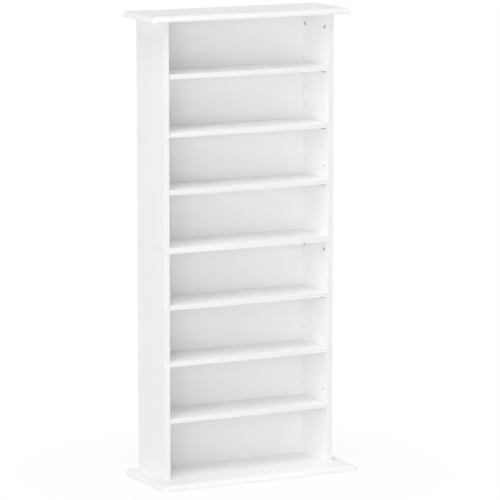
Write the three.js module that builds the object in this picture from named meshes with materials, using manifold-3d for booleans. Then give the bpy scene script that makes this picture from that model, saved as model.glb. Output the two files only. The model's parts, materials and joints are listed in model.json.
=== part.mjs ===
// Tall open storage tower for discs and their cases, in white laminated board.
//
// Two stacked bays stand on a wide moulded base board and carry a moulded top board. A fixed
// middle shelf lies between the side panels of the lower and the upper bay. Six loose shelves
// rest on pins, cam locks clamp the panels, and thin back panels sit in grooves.
//
// Lengths are in millimetres. +Z is up, the open front looks towards -Y, and the origin is on
// the floor under the middle of the base board.

import * as THREE from 'three';
import { mergeVertices } from 'three/addons/utils/BufferGeometryUtils.js';
import Module from 'manifold-3d';

const wasm = await Module();
wasm.setup();

// Driving dimensions

const body = {
  width: 521,
  depth: 172,
  lowerHeight: 628,
  upperHeight: 619,
  board: 16,
};

const moulding = {
  board: 16,
  sideReach: 41,
  baseFrontReach: 76,
  topFrontReach: 24,
  round: 12,
  corner: 8,
  cornerEase: 1,
  arris: 1,
};

const shelf = {
  board: 12.7,
  perBay: 3,
  endGap: 1.2,
  frontSetback: 1,
  backGap: 1,
};

const back = {
  thickness: 3,
  recess: 22,
  tongue: 5.5,
  grooveDepth: 6,
  grooveClearance: 0.25,
};

const drilling = {
  holesPerShelf: 3,
  radius: 2.5,
  depth: 9,
  frontInset: 24,
  rearInset: 8,
};

const pin = {
  stemClearance: 0.1,
  stemSpare: 1,
  collarRadius: 3.6,
  collarThickness: 0.8,
  pegRadius: 2.5,
  pegLength: 9,
  tipChamfer: 0.5,
  restGap: 0.2,
};

const cam = {
  radius: 5,
  backing: 3.7,
  boreClearance: 0.3,
  topDrop: 37,
  middleDrop: 24,
  driveWidth: 1.3,
  driveLength: 6.4,
  driveDepth: 2.6,
};

const bolt = {
  threadRadius: 2.9,
  topThread: 11,
  panelThread: 25,
  shankRadius: 3,
  neckRadius: 1.5,
  neckSpare: 0.5,
  headRadius: 2.7,
  headThickness: 2,
  tipChamfer: 0.8,
  clearance: 0.3,
};

const screw = {
  shankRadius: 2,
  headRadius: 4.2,
  headThickness: 2.6,
  length: 50,
  tipLength: 4,
  headRecess: 0.4,
  clearance: 0.3,
};

const overrun = 1;
const cornerSteps = 5;
const roundSteps = 6;
const holeSides = 12;
const camSides = 24;
const boltSides = 12;

// Sizes and levels that follow from the driving dimensions

const innerWidth = body.width - 2 * body.board;
const wallX = innerWidth / 2;
const panelX = wallX + body.board / 2;
const baseTop = moulding.board;
const middleUnder = baseTop + body.lowerHeight;
const middleTop = middleUnder + body.board;
const topUnder = middleTop + body.upperHeight;
const backFace = body.depth - back.recess - back.thickness;
const shelfPitch = (body.upperHeight + shelf.board) / (shelf.perBay + 1);
const holePitch = shelfPitch / drilling.holesPerShelf;
const holeRows = (shelf.perBay - 1) * drilling.holesPerShelf + 1;
const columns = { front: drilling.frontInset, rear: backFace - drilling.rearInset };
const sides = { left: -1, right: 1 };
const pinDrop = pin.restGap + pin.pegRadius;
const camHeight = body.board - cam.backing - cam.boreClearance;

const bays = {
  lower: {
    floor: baseTop,
    height: body.lowerHeight,
    lowestShelf: (body.lowerHeight - (shelf.perBay - 1) * shelfPitch) / 2,
    ceilingName: 'middle',
    camDrop: cam.middleDrop,
    boltThrough: body.board,
    boltThread: bolt.panelThread,
    footHoleRadius: screw.shankRadius + screw.clearance,
    footHoleDepth: screw.headRecess + screw.length - moulding.board + screw.clearance,
  },
  upper: {
    floor: middleTop,
    height: body.upperHeight,
    lowestShelf: shelfPitch - shelf.board,
    ceilingName: 'top',
    camDrop: cam.topDrop,
    boltThrough: 0,
    boltThread: bolt.topThread,
    footHoleRadius: bolt.threadRadius + bolt.clearance,
    footHoleDepth: bolt.panelThread + bolt.clearance,
  },
};

// Materials

function laminate() {
  return new THREE.MeshStandardMaterial({ color: 0xf3f3f2, roughness: 0.42, metalness: 0 });
}

function hardboard() {
  return new THREE.MeshStandardMaterial({ color: 0xeeeeec, roughness: 0.55, metalness: 0 });
}

function nickel() {
  return new THREE.MeshStandardMaterial({ color: 0xa9abad, roughness: 0.3, metalness: 1 });
}

function castZinc() {
  return new THREE.MeshStandardMaterial({ color: 0x8b8d90, roughness: 0.5, metalness: 1 });
}

function steel() {
  return new THREE.MeshStandardMaterial({ color: 0xb8b39a, roughness: 0.35, metalness: 1 });
}

// Shapes

/** A box between two corners, each given as [x, y, z]. */
function block(low, high) {
  const size = high.map((value, axis) => value - low[axis]);
  const middle = high.map((value, axis) => (value + low[axis]) / 2);
  return new THREE.BoxGeometry(...size).translate(...middle);
}

/** A round bar along X between two x values. */
function barX(from, to, y, z, radius, count) {
  const bar = new THREE.CylinderGeometry(radius, radius, Math.abs(to - from), count);
  return bar.rotateZ(Math.PI / 2).translate((from + to) / 2, y, z);
}

/** A round bar along Z between two heights. */
function barZ(x, y, from, to, radius, count) {
  const bar = new THREE.CylinderGeometry(radius, radius, Math.abs(to - from), count);
  return bar.rotateX(Math.PI / 2).translate(x, y, (from + to) / 2);
}

/** Turns a profile of [radius, height] pairs, which starts and ends on the axis, round Z. */
function turned(profile, count) {
  const points = profile.map(([radius, height]) => new THREE.Vector2(radius, height));
  return new THREE.LatheGeometry(points, count).rotateX(Math.PI / 2);
}

/** Skins a stack of rings that have equal point counts, and closes both ends. */
function lofted(rings) {
  const count = rings[0].length;
  const positions = rings.flat(2);
  const indices = [];
  for (let level = 0; level + 1 < rings.length; level += 1) {
    for (let point = 0; point < count; point += 1) {
      const next = (point + 1) % count;
      const a = level * count + point;
      const b = level * count + next;
      indices.push(a, b, b + count, a, b + count, a + count);
    }
  }
  const last = (rings.length - 1) * count;
  for (let point = 1; point + 1 < count; point += 1) {
    indices.push(0, point + 1, point, last, last + point, last + point + 1);
  }
  const geometry = new THREE.BufferGeometry();
  geometry.setAttribute('position', new THREE.Float32BufferAttribute(positions, 3));
  geometry.setIndex(indices);
  return geometry;
}

function toSolid(geometry) {
  const bare = geometry.clone();
  bare.deleteAttribute('normal');
  bare.deleteAttribute('uv');
  const merged = mergeVertices(bare);
  const vertProperties = new Float32Array(merged.attributes.position.array);
  const triVerts = new Uint32Array(merged.index.array);
  return new wasm.Manifold(new wasm.Mesh({ numProp: 3, vertProperties, triVerts }));
}

function toGeometry(solid) {
  const mesh = solid.getMesh();
  const geometry = new THREE.BufferGeometry();
  geometry.setAttribute('position', new THREE.BufferAttribute(mesh.vertProperties, 3));
  geometry.setIndex(new THREE.BufferAttribute(mesh.triVerts, 1));
  return geometry;
}

/** Cuts every cutter out of a blank. */
function carved(blank, cutters) {
  let solid = toSolid(blank);
  for (const cutter of cutters) {
    solid = solid.subtract(toSolid(cutter));
  }
  return toGeometry(solid);
}

// Moulded boards

/** Plan outline of a moulded board, drawn in from its nose on the front and both ends. */
function mouldedRing(halfWidth, front, rear, inset, height) {
  const radius = Math.max(moulding.corner - inset, moulding.cornerEase);
  const reach = inset + radius;
  const ring = [[-halfWidth + inset, rear, height]];
  for (const side of Object.values(sides)) {
    for (let step = 0; step <= cornerSteps; step += 1) {
      const turn = (step / cornerSteps + (side < 0 ? 2 : 3)) * (Math.PI / 2);
      ring.push([
        side * (halfWidth - reach) + radius * Math.cos(turn),
        front + reach + radius * Math.sin(turn),
        height,
      ]);
    }
  }
  ring.push([halfWidth - inset, rear, height]);
  return ring;
}

/** A board with a square lower edge and a rounded upper edge on its front and both ends. */
function mouldedBoard(frontReach) {
  const halfWidth = body.width / 2 + moulding.sideReach;
  const shoulder = moulding.board - moulding.round;
  const profile = [[moulding.arris, 0], [0, moulding.arris]];
  for (let step = 0; step <= roundSteps; step += 1) {
    const turn = (step / roundSteps) * (Math.PI / 2);
    const inset = moulding.round * (1 - Math.cos(turn));
    profile.push([inset, shoulder + moulding.round * Math.sin(turn)]);
  }
  return lofted(profile.map(([inset, height]) => (
    mouldedRing(halfWidth, -frontReach, body.depth, inset, height))));
}

/** Cutter for a back panel's groove in a level board, open at one face of it. */
function levelGroove(from, to) {
  const half = wallX + back.grooveDepth;
  const near = backFace - back.grooveClearance;
  const far = backFace + back.thickness + back.grooveClearance;
  return block([-half, near, Math.min(from, to)], [half, far, Math.max(from, to)]);
}

/** Runs a function for each of the four places where a panel is fastened. */
function atFasteners(make) {
  const made = [];
  for (const [sideName, side] of Object.entries(sides)) {
    for (const [columnName, y] of Object.entries(columns)) {
      made.push(make(`${sideName}_${columnName}`, side, y));
    }
  }
  return made;
}

function baseBoard() {
  const hole = screw.shankRadius + screw.clearance;
  const cutters = atFasteners((name, side, y) => (
    barZ(side * panelX, y, -overrun, moulding.board + overrun, hole, boltSides)));
  const mouth = screw.headRadius + screw.clearance;
  const sinkDepth = screw.headRecess + screw.headThickness + screw.clearance;
  const sinks = atFasteners((name, side, y) => turned([
    [0, -overrun],
    [mouth, -overrun],
    [mouth, screw.headRecess],
    [hole, sinkDepth],
    [0, sinkDepth],
  ], boltSides).translate(side * panelX, y, 0));
  const groove = levelGroove(moulding.board - back.grooveDepth, moulding.board + overrun);
  return carved(mouldedBoard(moulding.baseFrontReach), [...cutters, ...sinks, groove]);
}

function topBoard() {
  const hole = bolt.threadRadius + bolt.clearance;
  const cutters = atFasteners((name, side, y) => (
    barZ(side * panelX, y, -overrun, bolt.topThread + bolt.clearance, hole, boltSides)));
  const groove = levelGroove(-overrun, back.grooveDepth);
  return carved(mouldedBoard(moulding.topFrontReach), [...cutters, groove]);
}

function middleShelf() {
  const half = body.width / 2;
  const blank = block([-half, 0, 0], [half, body.depth, body.board]);
  const hole = bolt.shankRadius + bolt.clearance;
  const cutters = atFasteners((name, side, y) => (
    barZ(side * panelX, y, -overrun, body.board + overrun, hole, boltSides)));
  const grooves = [
    levelGroove(-overrun, back.grooveDepth),
    levelGroove(body.board - back.grooveDepth, body.board + overrun),
  ];
  return carved(blank, [...cutters, ...grooves]);
}

// Side panels

/** Heights of the shelf undersides in a bay, from the bay's floor, lowest first. */
function shelfLevels(bay) {
  const steps = [...Array(shelf.perBay).keys()];
  return steps.map((step) => bay.lowestShelf + step * shelfPitch);
}

/** A side panel, standing on z = 0 with its middle plane at x = 0 and its inner face bored. */
function sidePanel(side, bay) {
  const half = body.board / 2;
  const blank = block([-half, 0, 0], [half, body.depth, bay.height]);
  const face = -side * half;
  const outside = -side * (half + overrun);
  const inward = (depth) => face + side * depth;
  const camLevel = bay.height - bay.camDrop;
  const cutters = [];
  for (const y of Object.values(columns)) {
    for (let row = 0; row < holeRows; row += 1) {
      const z = bay.lowestShelf - pinDrop + row * holePitch;
      cutters.push(barX(outside, inward(drilling.depth), y, z, drilling.radius, holeSides));
    }
    const camRadius = cam.radius + cam.boreClearance;
    const camFloor = inward(camHeight + cam.boreClearance);
    cutters.push(barX(outside, camFloor, y, camLevel, camRadius, camSides));
    const boltRadius = bolt.shankRadius + bolt.clearance;
    cutters.push(barZ(0, y, camLevel, bay.height + overrun, boltRadius, boltSides));
    cutters.push(barZ(0, y, -overrun, bay.footHoleDepth, bay.footHoleRadius, boltSides));
  }
  const near = backFace - back.grooveClearance;
  const far = backFace + back.thickness + back.grooveClearance;
  const groove = [outside, inward(back.grooveDepth)].sort((a, b) => a - b);
  cutters.push(block([groove[0], near, -overrun], [groove[1], far, bay.height + overrun]));
  return carved(blank, cutters);
}

// Shelves and back panels

function looseShelf() {
  const half = wallX - shelf.endGap;
  return block([-half, shelf.frontSetback, 0], [half, backFace - shelf.backGap, shelf.board]);
}

function backPanel(bay) {
  const half = wallX + back.tongue;
  const low = [-half, backFace, -back.tongue];
  const high = [half, backFace + back.thickness, bay.height + back.tongue];
  return block(low, high);
}

// Fasteners

/** A shelf pin along Z: stem below z = 0, collar against the panel, peg above it. */
function shelfPin() {
  const stemRadius = drilling.radius - pin.stemClearance;
  const stemLength = drilling.depth - pin.stemSpare;
  return turned([
    [0, -stemLength],
    [stemRadius - pin.tipChamfer, -stemLength],
    [stemRadius, pin.tipChamfer - stemLength],
    [stemRadius, 0],
    [pin.collarRadius, 0],
    [pin.collarRadius, pin.collarThickness],
    [pin.pegRadius, pin.collarThickness],
    [pin.pegRadius, pin.pegLength - pin.tipChamfer],
    [pin.pegRadius - pin.tipChamfer, pin.pegLength],
    [0, pin.pegLength],
  ], holeSides);
}

/** Plan of the T slot that takes a bolt's head at the cam's middle and its neck towards +Y. */
function camSlot() {
  const headHalf = bolt.headRadius + bolt.clearance;
  const neckHalf = bolt.neckRadius + bolt.clearance;
  const pocket = bolt.headThickness / 2 + bolt.clearance;
  const mouth = cam.radius + overrun;
  return new THREE.Shape([
    new THREE.Vector2(-headHalf, -pocket),
    new THREE.Vector2(headHalf, -pocket),
    new THREE.Vector2(headHalf, pocket),
    new THREE.Vector2(neckHalf, pocket),
    new THREE.Vector2(neckHalf, mouth),
    new THREE.Vector2(-neckHalf, mouth),
    new THREE.Vector2(-neckHalf, pocket),
    new THREE.Vector2(-headHalf, pocket),
  ]);
}

/** A cam lock along Z with its driven face at z = 0, gripping a bolt that comes from +Y. */
function camLock() {
  const blank = barZ(0, 0, -camHeight, 0, cam.radius, camSides);
  const boltDepth = body.board / 2;
  const slotDepth = camHeight + overrun - (boltDepth - bolt.headRadius - bolt.clearance);
  const slot = new THREE.ExtrudeGeometry(camSlot(), { depth: slotDepth, bevelEnabled: false });
  slot.translate(0, 0, -camHeight - overrun);
  const long = cam.driveLength / 2;
  const wide = cam.driveWidth / 2;
  return carved(blank, [
    slot,
    block([-long, -wide, -cam.driveDepth], [long, wide, overrun]),
    block([-wide, -long, -cam.driveDepth], [wide, long, overrun]),
  ]);
}

/**
 * A cam bolt along Z. Its head lies at z = -drop, its plain shank ends at z = through, and
 * the length given as thread lies above that.
 */
function camBolt(drop, through, thread) {
  const headHalf = bolt.headThickness / 2;
  const neckEnd = cam.radius + bolt.neckSpare;
  return turned([
    [0, -drop - headHalf],
    [bolt.headRadius, -drop - headHalf],
    [bolt.headRadius, -drop + headHalf],
    [bolt.neckRadius, -drop + headHalf],
    [bolt.neckRadius, -drop + neckEnd],
    [bolt.shankRadius, -drop + neckEnd],
    [bolt.shankRadius, through],
    [bolt.threadRadius, through],
    [bolt.threadRadius, through + thread - bolt.tipChamfer],
    [bolt.threadRadius - bolt.tipChamfer, through + thread],
    [0, through + thread],
  ], boltSides);
}

/** A countersunk screw along Z with the flat of its head at z = 0. */
function baseScrew() {
  return turned([
    [0, 0],
    [screw.headRadius, 0],
    [screw.shankRadius, screw.headThickness],
    [screw.shankRadius, screw.length - screw.tipLength],
    [0, screw.length],
  ], boltSides);
}

// Assembly

const tower = new THREE.Group();
tower.position.y = (moulding.baseFrontReach - body.depth) / 2;

function add(name, geometry, material, place) {
  const mesh = new THREE.Mesh(geometry.index ? geometry.toNonIndexed() : geometry, material);
  mesh.geometry.computeVertexNormals();
  mesh.name = name;
  mesh.position.set(...place);
  tower.add(mesh);
  return mesh;
}

/** Turns a piece made along Z so that it points from a side wall into the room. */
function faceRoom(mesh, side) {
  const along = new THREE.Vector3(-side, 0, 0);
  const up = new THREE.Vector3(0, 0, 1);
  const across = new THREE.Vector3().crossVectors(up, along);
  mesh.quaternion.setFromRotationMatrix(new THREE.Matrix4().makeBasis(across, up, along));
}

add('base_board', baseBoard(), laminate(), [0, 0, 0]);
add('middle_shelf', middleShelf(), laminate(), [0, 0, middleUnder]);
add('top_board', topBoard(), laminate(), [0, 0, topUnder]);

for (const [bayName, bay] of Object.entries(bays)) {
  for (const [sideName, side] of Object.entries(sides)) {
    add(`${bayName}_side_${sideName}`, sidePanel(side, bay), laminate(), [side * panelX, 0, bay.floor]);
  }
  add(`${bayName}_back`, backPanel(bay), hardboard(), [0, 0, bay.floor]);
}

// Loose shelves are counted from the top of the tower, and each has four pins under it.
const shelfFloors = Object.values(bays)
  .flatMap((bay) => shelfLevels(bay).map((level) => bay.floor + level))
  .sort((a, b) => b - a);

shelfFloors.forEach((level, index) => {
  const name = `shelf_${index + 1}`;
  add(name, looseShelf(), laminate(), [0, 0, level]);
  atFasteners((place, side, y) => {
    const peg = add(`${name}_pin_${place}`, shelfPin(), nickel(), [side * wallX, y, level - pinDrop]);
    faceRoom(peg, side);
  });
});

// A bay's cams pull down the board that lies on its side panels. Over the lower bay the bolts
// pass through that board into the upper side panels.
for (const bay of Object.values(bays)) {
  const ceiling = bay.floor + bay.height;
  atFasteners((place, side, y) => {
    const camPlace = [side * wallX, y, ceiling - bay.camDrop];
    const lock = add(`${bay.ceilingName}_cam_${place}`, camLock(), castZinc(), camPlace);
    faceRoom(lock, side);
    const stud = camBolt(bay.camDrop, bay.boltThrough, bay.boltThread);
    add(`${bay.ceilingName}_cam_bolt_${place}`, stud, steel(), [side * panelX, y, ceiling]);
  });
}

atFasteners((place, side, y) => (
  add(`base_screw_${place}`, baseScrew(), steel(), [side * panelX, y, screw.headRecess])));

export default tower;
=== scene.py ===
"""Dresses the storage tower: milled and drilled boards, turned and cast fittings, and the studio.

Every piece takes its place from the frame's own boxes, rides on a body of the frame and stands
for one of its nodes. Lengths are in metres, +Z is up and the open front looks towards -Y.
"""

import json
import math

import bpy
import numpy as np
from bpy.props import FloatProperty, FloatVectorProperty, IntProperty, PointerProperty
from mathutils import Euler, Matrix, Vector


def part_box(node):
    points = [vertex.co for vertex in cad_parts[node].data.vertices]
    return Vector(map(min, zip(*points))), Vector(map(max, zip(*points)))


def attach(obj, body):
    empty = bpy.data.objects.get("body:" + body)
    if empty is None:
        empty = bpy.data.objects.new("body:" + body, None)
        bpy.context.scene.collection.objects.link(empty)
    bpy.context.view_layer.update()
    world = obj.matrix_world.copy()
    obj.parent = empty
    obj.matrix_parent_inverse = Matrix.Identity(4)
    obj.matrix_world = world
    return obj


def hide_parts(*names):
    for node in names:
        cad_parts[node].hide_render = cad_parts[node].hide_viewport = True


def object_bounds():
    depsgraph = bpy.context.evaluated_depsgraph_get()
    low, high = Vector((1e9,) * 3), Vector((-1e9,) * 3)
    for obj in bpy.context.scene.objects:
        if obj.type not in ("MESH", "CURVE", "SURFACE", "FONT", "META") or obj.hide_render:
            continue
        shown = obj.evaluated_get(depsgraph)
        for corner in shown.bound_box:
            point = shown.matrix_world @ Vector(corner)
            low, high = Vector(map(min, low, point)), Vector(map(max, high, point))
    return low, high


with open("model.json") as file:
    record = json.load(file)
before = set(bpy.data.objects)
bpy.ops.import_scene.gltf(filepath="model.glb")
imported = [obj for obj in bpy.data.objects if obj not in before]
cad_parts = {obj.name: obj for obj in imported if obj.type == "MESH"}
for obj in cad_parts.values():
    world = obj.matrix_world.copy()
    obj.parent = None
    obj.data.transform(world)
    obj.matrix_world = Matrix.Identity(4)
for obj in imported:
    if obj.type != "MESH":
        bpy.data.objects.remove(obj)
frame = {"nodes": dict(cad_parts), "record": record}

bl_info = {
    "name": "Disc storage tower",
    "version": (1, 0, 0),
    "blender": (4, 5, 0),
    "location": "3D View > Sidebar > Tower",
    "description": "Dresses the frame of an open storage tower in white laminated board",
    "category": "Add Mesh",
}

BOUNDS_AT_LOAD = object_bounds()
BODY_OF_NODE = {
    node: body
    for body, nodes in frame["record"]["behaviour"]["bodies"].items()
    for node in nodes
}
BAYS = ("lower", "upper")
X, Y, Z = np.eye(3)
INTO_ROOM = {"left": X, "right": -X}
FULL_TURN = 2 * math.pi
QUARTER_TURN = math.pi / 2
POINT_SHARE = 1 / 8  # radius left at the tip of a drill's cone or a screw, of that behind it
SMOOTH_ANGLE = math.radians(32)  # edges that bend more than this stay crisp
SENSOR_WIDTH = 36.0  # millimetres, as for the lens
CLIP_NEAR, CLIP_FAR = 0.1, 200.0  # metres from the camera


# The soft lamps: name, azimuth and elevation in degrees, distance, power in watts
LAMPS = (
    ("key_lamp", 30, 5, "near", 56.0),
    ("left_lamp", 90, 5, "near", 19.0),
    ("right_lamp", -90, 35, "near", 47.0),
    ("high_lamp", 35, 60, "far", 502.0),
    ("upper_lamp", 60, 65, "far", 118.0),
    ("level_lamp", 55, 15, "far", 262.0),
    ("cross_lamp", -45, 35, "far", 79.0),
    ("rear_lamp", 170, 5, "far", 150.0),
    ("side_lamp", -110, 5, "far", 130.0),
)


# Settings

def length(name, default, description, **limits):
    """A setting in metres."""
    return FloatProperty(name=name, description=description, default=default, unit="LENGTH", **limits)


class TowerBoards(bpy.types.PropertyGroup):
    """Sizes of the milled edges, grooves and holes of the boards."""

    edge_ease: length(
        "Edge ease", 0.0006, "Radius that takes the sharpness off a board's edges", min=0.0001)
    sheet_ease: length("Sheet ease", 0.0002, "The same radius on the thin back sheets", min=0.0001)
    nose_round: length("Nose round", 0.012, "Radius of the moulding on the top and base boards", min=0.001)
    corner_round: length(
        "Corner round", 0.008, "Radius of the two front corners, seen from above", min=0.001)
    lower_arris: length("Lower arris", 0.001, "Chamfer along the lower edge of the moulding", min=0.0001)
    nose_steps: IntProperty(
        name="Nose steps", description="Facets across a quarter turn of the moulding",
        default=16, min=4)
    groove_side_room: length("Groove side room", 0.00025, "Room on each face of a back sheet in its groove")
    groove_end_room: length("Groove end room", 0.0005, "Room past the edge of a back sheet in its groove")
    hole_radius: length("Pin hole radius", 0.0025, "Radius of the holes for the shelf pins")
    hole_depth: length("Pin hole depth", 0.009, "Depth of the holes for the shelf pins")
    hole_flare: length("Hole flare", 0.0002, "Width of the small chamfer round the mouth of a hole")
    drill_point: length("Drill point", 0.0007, "Depth of the cone that the drill leaves in a blind hole")
    holes_per_shelf: IntProperty(
        name="Holes per shelf", description="Hole steps from one loose shelf to the next",
        default=3, min=1)
    fitting_room: length("Fitting room", 0.0003, "Room round a cam, bolt or screw in its hole")
    hole_sides: IntProperty(
        name="Hole sides", description="Facets round a hole", default=40, min=12)
    corner_steps: IntProperty(
        name="Corner steps", description="Facets round a front corner, seen from above",
        default=12, min=4)
    cut_overrun: length("Cut overrun", 0.001, "How far a cutter runs past the face that it enters")


class TowerFittings(bpy.types.PropertyGroup):
    """Sizes of the pins, cams, bolts and screws that the frame's boxes don't give."""

    turned_sides: IntProperty(
        name="Turned sides", description="Facets round a turned fitting", default=40, min=12)
    thread_sides: IntProperty(
        name="Thread sides", description="Facets round a threaded fitting", default=20, min=12)
    thread_rings: IntProperty(
        name="Thread rings", description="Rings of points in one turn of a thread", default=8, min=4)
    collar_radius: length("Collar radius", 0.0036, "Radius of a shelf pin's collar")
    collar_thickness: length("Collar thickness", 0.0008, "Thickness of a shelf pin's collar")
    peg_radius: length("Peg radius", 0.0025, "Radius of the peg that a shelf rests on")
    stem_radius: length("Stem radius", 0.0024, "Radius of a shelf pin's stem in its hole")
    peg_round: length("Peg round", 0.0008, "Rounding at the end of a peg")
    peg_steps: IntProperty(
        name="Peg steps", description="Facets across the rounding of a peg", default=6, min=2)
    drive_width: length("Drive width", 0.0013, "Width of the arms of a cam's cross recess")
    drive_length: length("Drive length", 0.0064, "Length across the arms of a cam's cross recess")
    drive_depth: length("Drive depth", 0.0026, "Depth of a cam's cross recess")
    arrow_depth: length("Arrow depth", 0.0004, "Depth of the arrow that points to a cam's mouth")
    thread_pitch: length("Thread pitch", 0.0018, "Rise of a wood thread in one turn")
    thread_depth: length("Thread depth", 0.0008, "Depth of a wood thread from its crest")
    neck_radius: length("Neck radius", 0.0015, "Radius of a cam bolt's neck")
    head_radius: length("Head radius", 0.0027, "Radius of a cam bolt's head")
    head_thickness: length("Head thickness", 0.002, "Thickness of a cam bolt's head")
    screw_shank: length("Screw shank", 0.002, "Radius of a base screw's thread")
    screw_head_depth: length("Screw head depth", 0.0026, "Height of a base screw's countersunk head")
    screw_point: length("Screw point", 0.004, "Length of a base screw's point")


class TowerFinish(bpy.types.PropertyGroup):
    """Colours of the board, the back sheets and the metal fittings, as linear values."""

    laminate: FloatVectorProperty(
        name="Laminate", description="White satin laminate", subtype="COLOR",
        default=(0.92, 0.92, 0.92))
    band_tone: FloatProperty(
        name="Band tone", description="How pale the glued edge bands are beside the faces",
        default=0.985, min=0.5, max=1.0)
    glue_tone: FloatProperty(
        name="Glue tone", description="How pale the fine line along a front edge band is",
        default=0.8, min=0.0, max=1.0)
    # Painted shade: this tone darkens a line round each end of the middle shelf, for the seam where it
    # meets the side panels.
    seam_shade_tone: FloatProperty(
        name="Seam tone", description="How pale the line round an end of the middle shelf is",
        default=0.15, min=0.0, max=1.0)
    core: FloatVectorProperty(
        name="Core", description="Bare chipboard in the holes and grooves", subtype="COLOR",
        default=(0.78, 0.75, 0.7))
    sheet_face: FloatVectorProperty(
        name="Sheet face", description="White foil on the front of the back sheets",
        subtype="COLOR", default=(0.91, 0.91, 0.91))
    sheet_rear: FloatVectorProperty(
        name="Sheet rear", description="Bare hardboard on the rear of the back sheets",
        subtype="COLOR", default=(0.36, 0.22, 0.12))
    nickel: FloatVectorProperty(
        name="Nickel", description="Plating of the shelf pins", subtype="COLOR",
        default=(0.42, 0.41, 0.4))
    zinc: FloatVectorProperty(
        name="Cast zinc", description="Bare casting of the cams", subtype="COLOR",
        default=(0.57, 0.57, 0.575))
    yellow_zinc: FloatVectorProperty(
        name="Yellow zinc", description="Plating of the bolts and screws", subtype="COLOR",
        default=(0.62, 0.52, 0.3))


class TowerStudio(bpy.types.PropertyGroup):
    """The camera, the lamps and the floor."""

    eye: FloatVectorProperty(
        name="Eye", description="Where the camera stands", subtype="TRANSLATION",
        default=(-4.2260, -8.3047, 2.1315))
    yaw: FloatProperty(
        name="Yaw", description="Turn of the view from +Y towards +X", subtype="ANGLE",
        default=math.radians(27.110))
    pitch: FloatProperty(
        name="Pitch", description="Fall of the view below level", subtype="ANGLE",
        default=math.radians(9.146))
    lens: FloatProperty(
        name="Lens", description="Focal length in millimetres on a 36 mm sensor",
        default=245.65)
    sky: FloatProperty(
        name="Sky strength", description="Light that comes evenly from all round", default=0.25)
    bounces: IntProperty(
        name="Bounces", description="How often the white boards pass light on to each other",
        default=8, min=1)
    lamp_powers: FloatVectorProperty(
        name="Lamp powers", description="Power of each soft lamp, in the order of LAMPS",
        size=len(LAMPS), unit="POWER", default=[power for *_, power in LAMPS])
    near_distance: length("Near distance", 5.0, "From the middle of the tower to the near lamps")
    far_distance: length("Far distance", 12.0, "From the middle of the tower to the far lamps")
    lamp_spread: FloatProperty(
        name="Lamp spread", description="Side of a lamp as a share of its distance",
        default=0.5)
    floor_half: length("Floor half width", 40.0, "Half the side of the square floor")
    floor_gap: length("Floor gap", 0.0002, "Hair's breadth between the floor and the base board")
    floor_colour: FloatVectorProperty(
        name="Floor colour", description="Matt floor", subtype="COLOR", default=(0.9, 0.9, 0.9))
    floor_white: FloatProperty(
        name="Floor white", description="Share of plain white in the floor near the tower",
        default=0.92, min=0.0, max=1.0)
    shadow_reach: length("Shadow reach", 0.25, "How far from the middle the shadow shows in full")
    white_from: length("White from", 0.8, "Distance from the middle past which the floor is white")


# Surfaces

def mesh_piece(name, points, faces):
    """A mesh object from an array of points and a list of faces."""
    mesh = bpy.data.meshes.new(name)
    mesh.from_pydata(points.tolist(), [], [list(face) for face in faces])
    mesh.validate()
    piece = bpy.data.objects.new(name, mesh)
    bpy.context.scene.collection.objects.link(piece)
    return piece


def joined(surfaces):
    """Several (points, faces) surfaces as one: each one's faces count on from the last point."""
    points, faces, start = [], [], 0
    for some_points, some_faces in surfaces:
        points.append(some_points)
        faces.extend([tuple(corner + start for corner in face) for face in some_faces])
        start += len(some_points)
    return np.concatenate(points), faces


def wrapped_rings(rings):
    """
    Skin over a stack of closed rings, an array of (ring, point, xyz), with a flat face over
    the first and the last. Point p of ring r is joined to p + 1 of that ring and to p and
    p + 1 of ring r + 1, and p + 1 wraps round to 0.
    """
    levels, count = rings.shape[:2]
    r, p = np.meshgrid(np.arange(levels - 1), np.arange(count), indexing="ij")
    after = (p + 1) % count
    quads = np.stack([r * count + p, r * count + after,
                      (r + 1) * count + after, (r + 1) * count + p], axis=-1)
    faces = [tuple(quad) for quad in quads.reshape(-1, 4).tolist()]
    last = (levels - 1) * count
    faces.append(tuple(range(count - 1, -1, -1)))
    faces.append(tuple(range(last, last + count)))
    return rings.reshape(-1, 3), faces


def turned(radius, height, turn, origin, along, across):
    """
    A turned solid. Its rings are the points origin + height * along + radius * (cos t * across
    + sin t * (along x across)), with one height for a ring, and one radius for a ring or for
    each of its points. The turn gives t in whole turns.
    """
    angle = turn * FULL_TURN
    spoke = np.outer(np.cos(angle), across) + np.outer(np.sin(angle), np.cross(along, across))
    return wrapped_rings(np.array(origin, float) + height[:, None, None] * along
                         + radius[..., None] * spoke)


def revolved(profile, sides, origin, along=Z, across=X):
    """A turned solid whose rings are the (radius, height) pairs of the profile."""
    radius, height = np.array(profile, float).T
    return turned(radius[:, None], height, np.arange(sides) / sides, origin, along, across)


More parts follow.
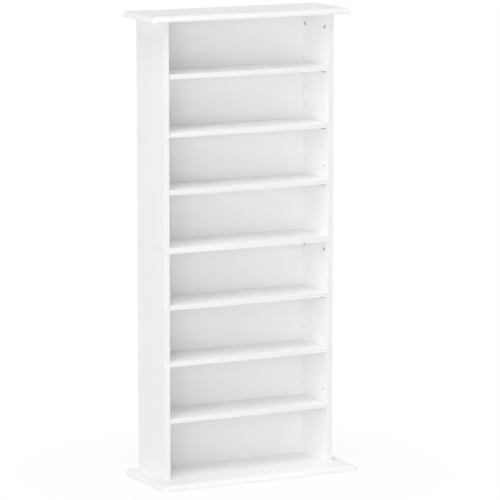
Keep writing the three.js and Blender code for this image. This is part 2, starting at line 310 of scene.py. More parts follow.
def eased_box(low, high, ease):
    """
    A box with softened edges. Its surface carries a grid whose lines crowd at the edges. Each
    grid point q is moved to n + ease * (q - n) / |q - n|, where n is the nearest point to q
    of the box shrunk by the ease on all sides.
    """
    low, high = np.array(low, float), np.array(high, float)
    stops = ease * np.array([0, 1 - math.tan(QUARTER_TURN / 4), 1])  # four equal steps round an edge
    lines = [np.concatenate((low[axis] + stops, high[axis] - stops[::-1])) for axis in range(3)]
    count = len(lines[0])
    step, other_step = np.meshgrid(np.arange(count - 1), np.arange(count - 1), indexing="ij")
    keys = []
    for axis in range(3):
        for end in (0, count - 1):
            corners = []
            for near, far in ((0, 0), (1, 0), (1, 1), (0, 1)):
                index = [None, None, None]
                index[axis] = np.full_like(step, end)
                index[(axis + 1) % 3] = step + near
                index[(axis + 2) % 3] = other_step + far
                corners.append((index[0] * count + index[1]) * count + index[2])
            quads = np.stack(corners, axis=-1).reshape(-1, 4)
            keys.append(quads if end else quads[:, ::-1])
    used, faces = np.unique(np.concatenate(keys), return_inverse=True)
    places = np.unravel_index(used, (count, count, count))
    grid = np.stack([lines[axis][places[axis]] for axis in range(3)], axis=-1)
    nearest = np.clip(grid, low + ease, high - ease)
    away = grid - nearest
    points = nearest + ease * away / np.linalg.norm(away, axis=1, keepdims=True)
    return points, [tuple(face) for face in faces.reshape(-1, 4).tolist()]


def plain_box(low, high):
    """A box cutter: the eight corners of low and high, and six faces."""
    corner = np.array([[x, y, z] for x in (0, 1) for y in (0, 1) for z in (0, 1)])
    points = np.where(corner, np.array(high, float), np.array(low, float))
    faces = [(0, 1, 3, 2), (4, 6, 7, 5), (0, 4, 5, 1), (2, 3, 7, 6), (0, 2, 6, 4), (1, 5, 7, 3)]
    return points, faces


def moulded_board(low, high, sizes):
    """
    A board whose front and ends carry a moulding. Ring v of the skin is the board's plan
    outline drawn in by the profile's inset v, at its height v: the profile climbs a small
    arris, a plain nose and a quarter circle, inset = r(1 - cos a), height = top - r + r sin a.
    The front corners are arcs of the corner radius less the inset, and never less than the
    ease. The rear edge is only eased.
    """
    turn = np.linspace(0, QUARTER_TURN, sizes.nose_steps + 1)
    shoulder = high[2] - sizes.nose_round
    inset = np.concatenate(([sizes.lower_arris, 0], sizes.nose_round * (1 - np.cos(turn))))
    height = np.concatenate(([low[2], low[2] + sizes.lower_arris],
                             shoulder + sizes.nose_round * np.sin(turn)))
    ease = sizes.edge_ease
    rear_inset = ease - np.minimum(ease, np.minimum(height - low[2], high[2] - height))
    sweep = np.linspace(0, QUARTER_TURN, sizes.corner_steps + 1)
    radius = np.maximum(sizes.corner_round - inset, ease)[:, None]
    reach = inset[:, None] + radius
    rows = [np.stack([low[0] + inset, high[1] - rear_inset], axis=-1)[:, None]]
    for start, centre_x in ((2 * QUARTER_TURN, low[0] + reach), (3 * QUARTER_TURN, high[0] - reach)):
        rows.append(np.stack([centre_x + radius * np.cos(start + sweep),
                              low[1] + reach + radius * np.sin(start + sweep)], axis=-1))
    rows.append(np.stack([high[0] - inset, high[1] - rear_inset], axis=-1)[:, None])
    plan = np.concatenate(rows, axis=1)
    levels = np.broadcast_to(height[:, None, None], plan.shape[:2] + (1,))
    return wrapped_rings(np.concatenate([plan, levels], axis=-1))


def threaded(profile, start, end, fittings, origin):
    """
    An upright turned solid with a wood thread. From height start to height end the radius is
    the profile's less depth * |1 - 2 frac(height / pitch - turn)|, which fades out over the
    last pitch at both ends and takes no more than half the radius.
    """
    pitch = fittings.thread_pitch
    known = np.array(profile, float)
    order = np.argsort(known[:, 1], kind="stable")
    heights = np.linspace(start, end, int((end - start) / pitch * fittings.thread_rings))
    thread = np.stack([np.interp(heights, known[order, 1], known[order, 0]), heights], axis=-1)
    stack = np.concatenate([known[known[:, 1] < start], thread, known[known[:, 1] > end]])
    radius, height = stack[:, :1], stack[:, 1]
    turn = np.arange(fittings.thread_sides) / fittings.thread_sides
    phase = (height[:, None] / pitch - turn) % 1
    fade = np.clip(np.minimum(height - start, end - height) / pitch, 0, 1)
    cut = np.minimum(fittings.thread_depth * np.abs(1 - 2 * phase) * fade[:, None], radius / 2)
    return turned(radius - cut, height, turn, origin, Z, X)


def empty_slots(piece):
    """Two empty material slots, so that faces with the index 1 keep it through a cut."""
    for _ in range(2):
        piece.data.materials.append(None)


def carve(piece, cutter_groups):
    """
    Cuts each group of cutter surfaces out of a piece, and keeps the cut mesh as its own. The
    cutters' faces carry the material index 1 into the cut mesh, where those that are left
    get 1 in the attribute "cut".
    """
    cutters = []
    empty_slots(piece)
    for number, group in enumerate(cutter_groups):
        cutter = mesh_piece(f"{piece.name}_cutter_{number}", *joined(group))
        empty_slots(cutter)
        cutter.data.polygons.foreach_set("material_index", np.ones(len(cutter.data.polygons), np.int32))
        cut = piece.modifiers.new(f"cut_{number}", "BOOLEAN")
        cut.operation, cut.solver, cut.object = "DIFFERENCE", "EXACT", cutter
        cutters.append(cutter)
    graph = bpy.context.evaluated_depsgraph_get()
    carved = bpy.data.meshes.new_from_object(piece.evaluated_get(graph))
    cut_index = np.zeros(len(carved.polygons), np.int32)
    carved.polygons.foreach_get("material_index", cut_index)
    carved.attributes.new("cut", "FLOAT", "FACE").data.foreach_set("value", cut_index.astype(np.float32))
    carved.polygons.foreach_set("material_index", np.zeros_like(cut_index))
    carved.materials.clear()
    piece.modifiers.clear()
    piece.data = carved
    for cutter in cutters:
        bpy.data.objects.remove(cutter)


def dress(node, craft, surface, finish_name, cutter_groups=()):
    """
    Makes the piece that stands for a node: its surface, less the cutters. It gets its finish,
    smooth shading between crisp edges and normals weighted towards its large faces, and rides
    with its node's body.
    """
    piece = mesh_piece(f"{node}_{craft}", *surface)
    if cutter_groups:
        carve(piece, cutter_groups)
    piece.data.materials.append(stock(finish_name))
    piece.data.shade_smooth()
    piece.data.set_sharp_from_angle(angle=SMOOTH_ANGLE)
    weigh = piece.modifiers.new("weighted_normals", "WEIGHTED_NORMAL")
    weigh.keep_sharp = True
    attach(piece, BODY_OF_NODE[node])
    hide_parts(node)


# Places that the frame gives

def box_of(node):
    """The lowest and highest corner of a node as arrays."""
    low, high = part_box(node)
    return np.array(low), np.array(high)


def centre_of(node):
    """The middle of a node's box."""
    low, high = box_of(node)
    return (low + high) / 2


def axis_foot(node):
    """The point under the middle of a node at height 0, on its upright axis."""
    return centre_of(node) * (X + Y)


def into_room(node):
    """The direction from the side panel that a fitting sits in to the compartments."""
    return INTO_ROOM["left" if "_left_" in node else "right"]


def end_towards(node, direction):
    """The x at which a node's box ends in a direction along X."""
    low, high = box_of(node)
    return high[0] if direction[0] > 0 else low[0]


def nodes_named(part, without=None):
    """Every node whose name holds one part, and not the other, in order."""
    return sorted(node for node in frame["nodes"] if part in node and not (without and without in node))


def nodes_in(panel, candidates):
    """The candidates whose box overlaps a panel's box."""
    low, high = box_of(panel)
    found = []
    for node in candidates:
        node_low, node_high = box_of(node)
        if np.all(node_low < high) and np.all(node_high > low):
            found.append(node)
    return found


# Materials

class Nodes:
    """The nodes of a material or a world, with short ways to add a node and to link two."""

    def __init__(self, owner, shader):
        owner.use_nodes = True
        self.owner = owner
        self.tree = owner.node_tree
        self.shader = self.tree.nodes[shader]

    def add(self, kind, **settings):
        """A new node, with its own settings such as operation."""
        made = self.tree.nodes.new(kind)
        for key, value in settings.items():
            setattr(made, key, value)
        return made

    def link(self, output, target):
        """Feeds a socket with an output."""
        self.tree.links.new(output, target)

    def math(self, operation, first, second=None):
        """Arithmetic on one or two values, each given as a number or as a socket."""
        made = self.add("ShaderNodeMath", operation=operation)
        for socket, value in zip(made.inputs, (first, second)):
            if isinstance(value, bpy.types.NodeSocket):
                self.link(value, socket)
            elif value is not None:
                socket.default_value = value
        return made.outputs["Value"]

    def spread(self, value, low, high, from_low=0.3, from_high=0.7, **settings):
        """Maps a value to the span from low to high. By default it is a noise's usual span."""
        made = self.add("ShaderNodeMapRange", **settings)
        self.link(value, made.inputs["Value"])
        for name, number in (("From Min", from_low), ("From Max", from_high),
                             ("To Min", low), ("To Max", high)):
            made.inputs[name].default_value = number
        return made.outputs["Result"]

    def backdrop_ray(self):
        """1 for the camera's rays and the mirrored and refracted ones, 0 for light."""
        rays = self.add("ShaderNodeLightPath").outputs
        mirrored = self.math("MAXIMUM", rays["Is Camera Ray"], rays["Is Glossy Ray"])
        return self.math("MAXIMUM", mirrored, rays["Is Transmission Ray"])


class Finish(Nodes):
    """A material's nodes: patterns on Object coordinates, round a Principled shader."""

    def __init__(self, name):
        super().__init__(bpy.data.materials.new(name), "Principled BSDF")
        coordinates = self.add("ShaderNodeTexCoord")
        self.place, self.normal = coordinates.outputs["Object"], coordinates.outputs["Normal"]

    def noise(self, scale, detail, roughness=0.5):
        """A cloudy pattern between 0 and 1, scale being about its blotches in a metre."""
        made = self.add("ShaderNodeTexNoise")
        self.link(self.place, made.inputs["Vector"])
        for name, number in (("Scale", scale), ("Detail", detail), ("Roughness", roughness)):
            made.inputs[name].default_value = number
        return made.outputs["Fac"]

    def mottle(self, first, second, scale, detail):
        """Two colours in clouds."""
        return self.blend(self.spread(self.noise(scale, detail), 0, 1), first, second)

    def blend(self, factor, first, second):
        """Mixes two colours, each given as a value or as a socket."""
        made = self.add("ShaderNodeMix", data_type="RGBA")
        self.link(factor, made.inputs["Factor"])
        for socket, colour in ((made.inputs["A"], first), (made.inputs["B"], second)):
            if isinstance(colour, bpy.types.NodeSocket):
                self.link(colour, socket)
            else:
                socket.default_value = (*colour, 1)
        return made.outputs["Result"]

    def bump(self, height, strength, distance, before=None):
        """A normal bent by a pattern's height, on top of the bump before it."""
        made = self.add("ShaderNodeBump")
        made.inputs["Strength"].default_value = strength
        made.inputs["Distance"].default_value = distance
        self.link(height, made.inputs["Height"])
        if before:
            self.link(before, made.inputs["Normal"])
        return made.outputs["Normal"]

    def facing(self, axis):
        """The part of the surface's normal along an axis, X, Y or Z."""
        split = self.add("ShaderNodeSeparateXYZ")
        self.link(self.normal, split.inputs["Vector"])
        return split.outputs[axis]

    def front_share(self):
        """How far the surface faces the open front: 1 where it does, 0 from an eased edge on."""
        return self.spread(self.facing("Y"), 1, 0, from_low=-0.9, from_high=-0.6)

    def end_share(self):
        """How far it faces the left or right end: 1 where it does, 0 past an eased edge."""
        return self.spread(self.math("ABSOLUTE", self.facing("X")), 0, 1, from_low=0.6, from_high=0.9)

    def wear(self, colour, roughness, normal):
        """Links the three patterns to the shader and gives the material."""
        for name, output in (("Base Color", colour), ("Roughness", roughness), ("Normal", normal)):
            self.link(output, self.shader.inputs[name])
        return self.owner


def shaded(colour, factor):
    """A colour made darker, or paler with a factor above 1."""
    return tuple(channel * factor for channel in colour)


def laminate(name, settings, front_band=False, end_bands_and_seam_shade=False):
    """
    White melamine: a fine pearl emboss, faint long waves of the chipboard, satin gloss. A
    glued edge band is a little darker, with a fine line along it. Round the ends of the middle
    shelf that line is painted shade, for the seam where the shelf meets the side panels. Holes
    and grooves lay the chipboard bare.
    """
    finish = Finish(name)
    colour = settings.laminate
    tone = finish.mottle(shaded(colour, 0.985), colour, scale=5.0, detail=4.0)
    speck = finish.spread(finish.noise(scale=420.0, detail=3.0), 0, 1, from_low=0.62, from_high=0.8)
    tone = finish.blend(speck, tone, shaded(colour, 0.95))
    bands = []
    if front_band:
        bands.append((finish.front_share(), settings.glue_tone))
    if end_bands_and_seam_shade:
        # Painted shade: a dark line round the shelf's ends, for the seam against the side panels.
        bands.append((finish.end_share(), settings.seam_shade_tone))
    for share, glue_line_and_seam_shade_tone in bands:
        tone = finish.blend(share, tone, shaded(colour, settings.band_tone))
        # On a front band this is a real glue line; on the end bands it is a painted shade line for the
        # seam.
        line = finish.math("PINGPONG", share, 0.5)
        tone = finish.blend(line, tone, shaded(colour, glue_line_and_seam_shade_tone))
    chips = finish.mottle(shaded(settings.core, 0.7), shaded(settings.core, 1.2),
                          scale=700.0, detail=3.0)
    cut = finish.add("ShaderNodeAttribute", attribute_name="cut")
    pearls = finish.noise(scale=1500.0, detail=2.0)
    waves = finish.bump(finish.noise(scale=28.0, detail=1.0), strength=0.05, distance=0.002)
    return finish.wear(
        colour=finish.blend(cut.outputs["Fac"], tone, chips),
        roughness=finish.spread(finish.noise(scale=60.0, detail=3.0), 0.52, 0.62),
        normal=finish.bump(pearls, strength=0.12, distance=0.0001, before=waves))


def faced_hardboard(name, settings):
    """Hardboard: white foil on the side that faces the front, bare brown fibre elsewhere."""
    finish = Finish(name)
    face, rear = settings.sheet_face, settings.sheet_rear
    foil = finish.front_share()
    fibres = finish.noise(scale=260.0, detail=6.0, roughness=0.7)
    fibre = finish.blend(finish.spread(fibres, 0, 1, from_low=0.35, from_high=0.65),
                         shaded(rear, 0.72), shaded(rear, 1.3))
    blotches = finish.spread(finish.noise(scale=9.0, detail=3.0), 0, 0.5)
    brown = finish.blend(blotches, fibre, shaded(rear, 0.85))
    white = finish.mottle(shaded(face, 0.985), face, scale=4.0, detail=3.0)
    return finish.wear(
        colour=finish.blend(foil, brown, white),
        roughness=finish.spread(foil, 0.85, 0.5, from_low=0, from_high=1),
        normal=finish.bump(finish.noise(scale=700.0, detail=4.0), strength=0.15, distance=0.0002))


def metal(name, colour, roughness, grain_scale, grain_strength):
    """Metal with uneven plating: tone and gloss drift over the surface, over a fine grain."""
    finish = Finish(name)
    finish.shader.inputs["Metallic"].default_value = 1.0
    drift = finish.noise(scale=900.0, detail=3.0)
    grain = finish.noise(scale=grain_scale, detail=3.0)
    return finish.wear(
        colour=finish.mottle(shaded(colour, 0.85), colour, scale=350.0, detail=4.0),
        roughness=finish.spread(drift, roughness * 0.85, roughness * 1.2),
        normal=finish.bump(grain, strength=grain_strength, distance=0.0001))


def stock(name):
    """The material of that name, made the first time that it is asked for."""
    settings = bpy.context.scene.tower_finish
    recipes = {
        "white_laminate": lambda: laminate(name, settings),
        "banded_laminate": lambda: laminate(name, settings, front_band=True),
        # The middle shelf's laminate, with a painted shade line round its ends.
        "end_banded_laminate": lambda: laminate(name, settings, front_band=True, end_bands_and_seam_shade=True),
        "faced_hardboard": lambda: faced_hardboard(name, settings),
        "nickel_plate": lambda: metal(name, settings.nickel, roughness=0.28,
                                      grain_scale=2500.0, grain_strength=0.05),
        "cast_zinc": lambda: metal(name, settings.zinc, roughness=0.5,
                                   grain_scale=3500.0, grain_strength=0.4),
        "yellow_zinc": lambda: metal(name, settings.yellow_zinc, roughness=0.32,
                                     grain_scale=2500.0, grain_strength=0.08),
    }
    return bpy.data.materials.get(name) or recipes[name]()


# Cutters

def groove_cutters(panel, sizes):
    """Grooves for the back sheets that enter a board: each sheet's box with its room round it."""
    room = np.array([sizes.groove_end_room, sizes.groove_side_room, sizes.groove_end_room])
    return [plain_box(low - room, high + room)
            for low, high in map(box_of, nodes_in(panel, nodes_named("_back")))]


def upright_hole(node, profile, sizes):
    """A turned cutter on a fastener's upright axis, from (radius, height) pairs."""
    return revolved(profile, sizes.hole_sides, axis_foot(node))


def fastener_bore(node, panel, sizes):
    """An upright round bore for a bolt or screw: open where it crosses a face of the board."""
    low, high = box_of(node)
    panel_low, panel_high = box_of(panel)
    radius = (high[0] - low[0]) / 2 + sizes.fitting_room
    start = max(low[2] - sizes.fitting_room, panel_low[2] - sizes.cut_overrun)
    end = min(high[2] + sizes.fitting_room, panel_high[2] + sizes.cut_overrun)
    return upright_hole(node, [(radius, start), (radius, end)], sizes)


def blind_hole(radius, depth, mouth, inward, sizes, bottom=()):
    """A hole with a small flare at its mouth and a straight wall, down to its bottom."""
    flare, over = sizes.hole_flare, sizes.cut_overrun
    profile = [(radius + flare + over, -over), (radius, flare), (radius, depth), *bottom]
    return revolved(profile, sizes.hole_sides, mouth, inward, Y)


def pin_hole_cutter(mouth, inward, sizes):
    """A pin's hole, with the drill's cone at the bottom."""
    tip = (sizes.hole_radius * POINT_SHARE, sizes.hole_depth + sizes.drill_point)
    return blind_hole(sizes.hole_radius, sizes.hole_depth, mouth, inward, sizes, bottom=[tip])


def cam_bore_cutter(cam, inward, sizes):
    """A cam's flat-bottomed bore."""
    low, high = box_of(cam)
    mouth = centre_of(cam) - inward * (high[0] - low[0]) / 2
    room = sizes.fitting_room
    return blind_hole((high[1] - low[1]) / 2 + room, high[0] - low[0] + room, mouth, inward, sizes)


# Pieces

class TOWER_OT_moulded_boards(bpy.types.Operator):
    """Make the base and top boards with their moulded noses, screw holes and grooves"""

    bl_idname = "tower.moulded_boards"
    bl_label = "Moulded boards"

    def execute(self, context):
        sizes = context.scene.tower_boards
        for node in ("base_board", "top_board"):
            fasteners = nodes_in(node, nodes_named("_screw_") + nodes_named("top_cam_bolt"))
            bores = [self.bore(fastener, node, sizes) for fastener in fasteners]
            dress(node, "milled", moulded_board(*box_of(node), sizes),
                  "white_laminate", [bores, groove_cutters(node, sizes)])
        return {"FINISHED"}

    def bore(self, fastener, board, sizes):
        """A bolt's bore, or a screw's through hole with a cone for its countersunk head."""
        if "screw" not in fastener:
            return fastener_bore(fastener, board, sizes)
        fittings = bpy.context.scene.tower_fittings
        low, high = box_of(fastener)
        room, over = sizes.fitting_room, sizes.cut_overrun
        mouth = (high[0] - low[0]) / 2 + room
        hole = fittings.screw_shank + room
        sink = low[2] + fittings.screw_head_depth + room
        top = box_of(board)[1][2] + over
        return upright_hole(fastener, [(mouth, -over), (mouth, low[2]), (hole, sink), (hole, top)], sizes)


class TOWER_OT_side_panels(bpy.types.Operator):
    """Make the four side panels with their pin holes, cam bores, bolt bores and grooves"""

    bl_idname = "tower.side_panels"
    bl_label = "Side panels"

    def execute(self, context):
        sizes = context.scene.tower_boards
        for bay in BAYS:
            for side in INTO_ROOM:
                node = f"{bay}_side_{side}"
                dress(node, "drilled", eased_box(*box_of(node), sizes.edge_ease),
                      "banded_laminate", self.cutters(node, side, sizes))
        return {"FINISHED"}

    def cutters(self, node, side, sizes):
        """Two groups: what enters from the room and from below, and the bolts that meet the cams."""
        room = INTO_ROOM[side]
        wall = end_towards(node, room)
        pins = np.array([centre_of(pin) for pin in nodes_in(node, nodes_named(f"_pin_{side}"))])
        shelves = len(np.unique(np.round(pins[:, 2], 4)))  # alike to a tenth of a millimetre
        rows = np.linspace(pins[:, 2].min(), pins[:, 2].max(), (shelves - 1) * sizes.holes_per_shelf + 1)
        columns = (pins[:, 1].min(), pins[:, 1].max())
        holes = [pin_hole_cutter((wall, y, z), -room, sizes) for y in columns for z in rows]
        cams = [cam_bore_cutter(cam, -room, sizes)
                for cam in nodes_in(node, nodes_named("_cam_", without="bolt"))]
        fasteners = nodes_in(node, nodes_named("_cam_bolt_") + nodes_named("_screw_"))
        floor = box_of(node)[0][2]
        feet = [one for one in fasteners if box_of(one)[0][2] < floor]
        heads = [one for one in fasteners if one not in feet]
        return [holes + cams + groove_cutters(node, sizes)
                + [fastener_bore(one, node, sizes) for one in feet],
                [fastener_bore(one, node, sizes) for one in heads]]


class TOWER_OT_middle_shelf(bpy.types.Operator):
    """Make the fixed middle shelf with its bolt holes and the grooves of both back sheets"""

    bl_idname = "tower.middle_shelf"
    bl_label = "Middle shelf"

    def execute(self, context):
        sizes = context.scene.tower_boards
        node = "middle_shelf"
        bores = [fastener_bore(bolt, node, sizes) for bolt in nodes_in(node, nodes_named("_cam_bolt_"))]
        # Its finish paints a shade line round the shelf's ends, for the seams against the side panels.
        dress(node, "drilled", eased_box(*box_of(node), sizes.edge_ease),
              "end_banded_laminate", [bores, groove_cutters(node, sizes)])
        return {"FINISHED"}


class TOWER_OT_loose_shelves(bpy.types.Operator):
    """Make the six loose shelves"""

    bl_idname = "tower.loose_shelves"
    bl_label = "Loose shelves"

    def execute(self, context):
        sizes = context.scene.tower_boards
        for node in nodes_named("shelf_", without="pin"):
            dress(node, "edged", eased_box(*box_of(node), sizes.edge_ease),
                  "banded_laminate")
        return {"FINISHED"}


class TOWER_OT_back_sheets(bpy.types.Operator):
    """Make the two thin back sheets"""

    bl_idname = "tower.back_sheets"
    bl_label = "Back sheets"

    def execute(self, context):
        sizes = context.scene.tower_boards
        for node in nodes_named("_back"):
            dress(node, "sheet", eased_box(*box_of(node), sizes.sheet_ease),
                  "faced_hardboard")
        return {"FINISHED"}


class TOWER_OT_shelf_pins(bpy.types.Operator):
    """Turn the shelf pins: a stem in the hole, a collar on the wall and a round-ended peg"""

    bl_idname = "tower.shelf_pins"
    bl_label = "Shelf pins"

    def execute(self, context):
        fittings = context.scene.tower_fittings
        ease = context.scene.tower_boards.sheet_ease
        for node in nodes_named("_pin_"):
            room = into_room(node)
            wall = end_towards(nodes_in(node, nodes_named("_side_"))[0], room)
            stem, peg = abs(end_towards(node, -room) - wall), abs(end_towards(node, room) - wall)
            profile = self.profile(stem, peg, fittings, ease)
            mouth = (wall, *centre_of(node)[1:])
            dress(node, "turned", revolved(profile, fittings.turned_sides, mouth, room, Y),
                  "nickel_plate")
        return {"FINISHED"}

    def profile(self, stem, peg, fittings, ease):
        """Radii and heights from the stem's chamfered end to the peg's quarter-round end."""
        collar, thickness = fittings.collar_radius, fittings.collar_thickness
        rounding, end_radius = fittings.peg_round, fittings.peg_radius - fittings.peg_round
        chamfer = rounding / 2
        turn = np.linspace(0, QUARTER_TURN, fittings.peg_steps + 1)
        end = np.stack([end_radius + rounding * np.cos(turn), peg - rounding * (1 - np.sin(turn))], axis=-1)
        return [(fittings.stem_radius - chamfer, -stem), (fittings.stem_radius, chamfer - stem),
                (fittings.stem_radius, 0), (collar, 0), (collar, thickness - ease),
                (collar - ease, thickness), (fittings.peg_radius, thickness), *end]


class TOWER_OT_cam_locks(bpy.types.Operator):
    """Cast the cam locks with their cross recess, their arrow and the mouth for the bolt"""

    bl_idname = "tower.cam_locks"
    bl_label = "Cam locks"

    def execute(self, context):
        fittings = context.scene.tower_fittings
        boards = context.scene.tower_boards
        for node in nodes_named("_cam_", without="bolt"):
            low, high = box_of(node)
            room = into_room(node)
            radius, depth, ease = (high[1] - low[1]) / 2, high[0] - low[0], boards.sheet_ease
            middle = np.array([end_towards(node, room), *centre_of(node)[1:]])
            profile = [(radius - ease, -depth), (radius, ease - depth), (radius, -ease), (radius - ease, 0)]
            panel = nodes_in(node, nodes_named("_side_"))[0]
            bolt_depth = abs(centre_of(panel)[0] - middle[0])
            dress(node, "cast", revolved(profile, fittings.turned_sides, middle, room, Y),
                  "cast_zinc",
                  self.cutters(middle, room, radius, depth, bolt_depth, fittings, boards))
        return {"FINISHED"}

    def cutters(self, middle, room, radius, depth, bolt_depth, fittings, boards):
        """The two arms of the cross, the pocket for the bolt's head with its mouth, the arrow."""
        over, fit = boards.cut_overrun, boards.fitting_room
        half_long, half_wide = fittings.drive_length / 2, fittings.drive_width / 2
        arrow_foot_share, arrow_tip_share = 0.68, 0.9

        def prism(outline, bottom, top):
            """A flat outline of (across, up) points carried along the cam's axis."""
            across, up = np.array(outline, float).T
            flat = middle + np.outer(across, np.cross(Z, room)) + np.outer(up, Z)
            return wrapped_rings(np.stack([flat + room * bottom, flat + room * top]))

        def plate(half_across, low_up, high_up, bottom, top):
            """A prism with an oblong outline."""
            outline = [(-half_across, low_up), (half_across, low_up),
                       (half_across, high_up), (-half_across, high_up)]
            return prism(outline, bottom, top)

        head, neck = fittings.head_radius + fit, fittings.neck_radius + fit
        half_head, pocket_front = fittings.head_thickness / 2 + fit, head - bolt_depth
        arrow = [(-half_wide, radius * arrow_foot_share), (half_wide, radius * arrow_foot_share),
                 (0, radius * arrow_tip_share)]
        surfaces = (plate(half_long, -half_wide, half_wide, -fittings.drive_depth, over),
                    plate(half_wide, -half_long, half_long, -fittings.drive_depth, over),
                    plate(head, -half_head, half_head, -depth - over, pocket_front),
                    plate(neck, 0, radius + over, -depth - over, pocket_front),
                    prism(arrow, -fittings.arrow_depth, over))
        return [[surface] for surface in surfaces]


class TOWER_OT_cam_bolts(bpy.types.Operator):
    """Turn the cam bolts: a head and neck in the cam, a plain shank and a wood thread"""

    bl_idname = "tower.cam_bolts"
    bl_label = "Cam bolts"

    def execute(self, context):
        fittings = context.scene.tower_fittings
        boards = context.scene.tower_boards
        ease, tip_share = boards.sheet_ease, 1 / 3
        head, neck = fittings.head_radius, fittings.neck_radius
        for node in nodes_named("_cam_bolt_"):
            low, high = box_of(node)
            shank = (high[0] - low[0]) / 2
            head_top = low[2] + fittings.head_thickness
            cam_top = box_of(node.replace("_cam_bolt_", "_cam_"))[1][2]
            neck_top = cam_top + boards.cut_overrun / 2  # just past the cam's rim
            thread_from = box_of("middle_shelf")[1][2] if "middle" in node else box_of("top_board")[0][2]
            thread_to = high[2] - fittings.thread_pitch
            profile = [(head - ease, low[2]), (head, low[2] + ease), (head, head_top - ease),
                       (head - ease, head_top), (neck, head_top), (neck, neck_top), (shank, neck_top),
                       (shank, thread_from), (shank, thread_to), (shank * tip_share, high[2])]
            dress(node, "threaded", threaded(profile, thread_from, thread_to, fittings, axis_foot(node)),
                  "yellow_zinc")
        return {"FINISHED"}


class TOWER_OT_base_screws(bpy.types.Operator):
    """Make the countersunk screws under the base, each with a cross recess and a thread"""

    bl_idname = "tower.base_screws"
    bl_label = "Base screws"

    def execute(self, context):
        fittings = context.scene.tower_fittings
        boards = context.scene.tower_boards
        ease, shank, over = boards.sheet_ease, fittings.screw_shank, boards.cut_overrun
        drive_long_share, drive_wide_share, drive_depth_share = 0.62, 0.15, 0.75
        for node in nodes_named("_screw_"):
            low, high = box_of(node)
            head = (high[0] - low[0]) / 2
            sink, point = low[2] + fittings.screw_head_depth, high[2] - fittings.screw_point
            profile = [(head - ease, low[2]), (head, low[2] + ease), (shank, sink), (shank, point),
                       (shank * POINT_SHARE, high[2])]
            foot, bottom = axis_foot(node), low[2] + fittings.screw_head_depth * drive_depth_share
            arm = head * np.array([drive_long_share, drive_wide_share, 0])
            arms = [plain_box(foot - half + (low[2] - over) * Z, foot + half + bottom * Z)
                    for half in (arm, arm[[1, 0, 2]])]
            dress(node, "threaded",
                  threaded(profile, sink + fittings.thread_pitch, point, fittings, foot),
                  "yellow_zinc", [[one] for one in arms])
        return {"FINISHED"}


# Stage

def floor_material(studio):
    """
    White floor. Where it is far from the tower, camera and mirror rays see plain white; close
    by they see a share of the lit floor, with the tower's shadow on it.
    """
    floor = Finish("studio_floor")
    floor.shader.inputs["Base Color"].default_value = (*studio.floor_colour, 1)
    floor.shader.inputs["Roughness"].default_value = 0.9
    floor.shader.inputs["Specular IOR Level"].default_value = 0.1
    distance = floor.add("ShaderNodeVectorMath", operation="LENGTH")
    floor.link(floor.place, distance.inputs[0])
    plain = floor.spread(distance.outputs["Value"], studio.floor_white, 1,
                         from_low=studio.shadow_reach, from_high=studio.white_from,
                         interpolation_type="SMOOTHSTEP")
    mix = floor.add("ShaderNodeMixShader")
    floor.link(floor.math("MULTIPLY", floor.backdrop_ray(), plain), mix.inputs["Fac"])
    floor.link(floor.shader.outputs["BSDF"], mix.inputs[1])
    floor.link(floor.add("ShaderNodeEmission").outputs["Emission"], mix.inputs[2])
    floor.link(mix.outputs["Shader"], floor.tree.nodes["Material Output"].inputs["Surface"])
    return floor.owner


def sky_world(strength):
    """Even white light from all round, which camera and mirror rays see as plain white."""
    sky = Nodes(bpy.data.worlds.new("studio_sky"), "Background")
    sky.shader.inputs["Color"].default_value = (1, 1, 1, 1)
    shown = sky.spread(sky.backdrop_ray(), strength, 1, from_low=0, from_high=1)
    sky.link(shown, sky.shader.inputs["Strength"])
    return sky.owner


def soft_lamp(name, azimuth, elevation, distance, power, spread):
    """A square area lamp: azimuth turns from the open front to the left, elevation lifts it."""
    low, high = BOUNDS_AT_LOAD
    middle = Vector((0, 0, (low[2] + high[2]) / 2))
    turn, lift = math.radians(azimuth), math.radians(elevation)
    towards = Vector((-math.sin(turn) * math.cos(lift), -math.cos(turn) * math.cos(lift),
                      math.sin(lift)))
    data = bpy.data.lights.new(name, "AREA")
    data.shape = "SQUARE"
    data.size = distance * spread
    data.energy = power
    lamp = bpy.data.objects.new(name, data)
    lamp.location = middle + distance * towards
    lamp.rotation_euler = towards.to_track_quat("Z", "Y").to_euler()
    bpy.context.scene.collection.objects.link(lamp)


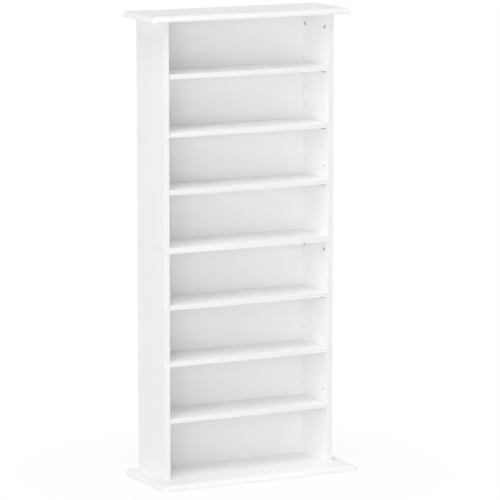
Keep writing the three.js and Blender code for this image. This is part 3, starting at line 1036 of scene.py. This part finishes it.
class TOWER_OT_stage(bpy.types.Operator):
    """Set the floor, the soft lamps, the white sky and the camera"""

    bl_idname = "tower.stage"
    bl_label = "Stage"

    def execute(self, context):
        studio = context.scene.tower_studio
        half = studio.floor_half
        corners = half * np.array([(-1, -1, 0), (1, -1, 0), (1, 1, 0), (-1, 1, 0)])
        floor = mesh_piece("studio_floor", corners - studio.floor_gap * Z, [(0, 1, 2, 3)])
        floor.data.materials.append(floor_material(studio))
        context.scene.world = sky_world(studio.sky)
        distances = {"near": studio.near_distance, "far": studio.far_distance}
        for (name, azimuth, elevation, distance, _), power in zip(LAMPS, studio.lamp_powers):
            soft_lamp(name, azimuth, elevation, distances[distance], power, studio.lamp_spread)
        self.camera(context.scene, studio)
        context.scene.cycles.diffuse_bounces = studio.bounces
        context.scene.view_settings.view_transform = "Standard"
        return {"FINISHED"}

    def camera(self, scene, studio):
        """A level-headed camera, turned and tipped as the settings say."""
        data = bpy.data.cameras.new("studio_camera")
        data.sensor_width = SENSOR_WIDTH
        data.lens = studio.lens
        data.clip_start, data.clip_end = CLIP_NEAR, CLIP_FAR
        camera = bpy.data.objects.new("studio_camera", data)
        camera.location = studio.eye
        camera.rotation_euler = Euler((QUARTER_TURN - studio.pitch, 0, -studio.yaw))
        scene.collection.objects.link(camera)
        scene.camera = camera


class TOWER_PT_panel(bpy.types.Panel):
    """Buttons that make the tower's pieces"""

    bl_idname = "TOWER_PT_panel"
    bl_label = "Disc storage tower"
    bl_space_type = "VIEW_3D"
    bl_region_type = "UI"
    bl_category = "Tower"

    def draw(self, context):
        for operator in OPERATORS:
            self.layout.operator(operator.bl_idname)
        for group in ("tower_boards", "tower_fittings", "tower_finish", "tower_studio"):
            settings = getattr(context.scene, group)
            for name in settings.bl_rna.properties.keys():
                if name not in ("rna_type", "name"):
                    self.layout.prop(settings, name)


OPERATORS = (
    TOWER_OT_moulded_boards,
    TOWER_OT_side_panels,
    TOWER_OT_middle_shelf,
    TOWER_OT_loose_shelves,
    TOWER_OT_back_sheets,
    TOWER_OT_shelf_pins,
    TOWER_OT_cam_locks,
    TOWER_OT_cam_bolts,
    TOWER_OT_base_screws,
    TOWER_OT_stage,
)
SETTINGS = {
    "tower_boards": TowerBoards,
    "tower_fittings": TowerFittings,
    "tower_finish": TowerFinish,
    "tower_studio": TowerStudio,
}


def register():
    for each in (*SETTINGS.values(), *OPERATORS, TOWER_PT_panel):
        bpy.utils.register_class(each)
    for name, group in SETTINGS.items():
        setattr(bpy.types.Scene, name, PointerProperty(type=group))


def unregister():
    for name in SETTINGS:
        delattr(bpy.types.Scene, name)
    for each in (TOWER_PT_panel, *reversed(OPERATORS), *reversed(SETTINGS.values())):
        bpy.utils.unregister_class(each)


def main():
    register()
    bpy.ops.tower.moulded_boards()
    bpy.ops.tower.side_panels()
    bpy.ops.tower.middle_shelf()
    bpy.ops.tower.loose_shelves()
    bpy.ops.tower.back_sheets()
    bpy.ops.tower.shelf_pins()
    bpy.ops.tower.cam_locks()
    bpy.ops.tower.cam_bolts()
    bpy.ops.tower.base_screws()
    bpy.ops.tower.stage()


if __name__ == "__main__":
    main()
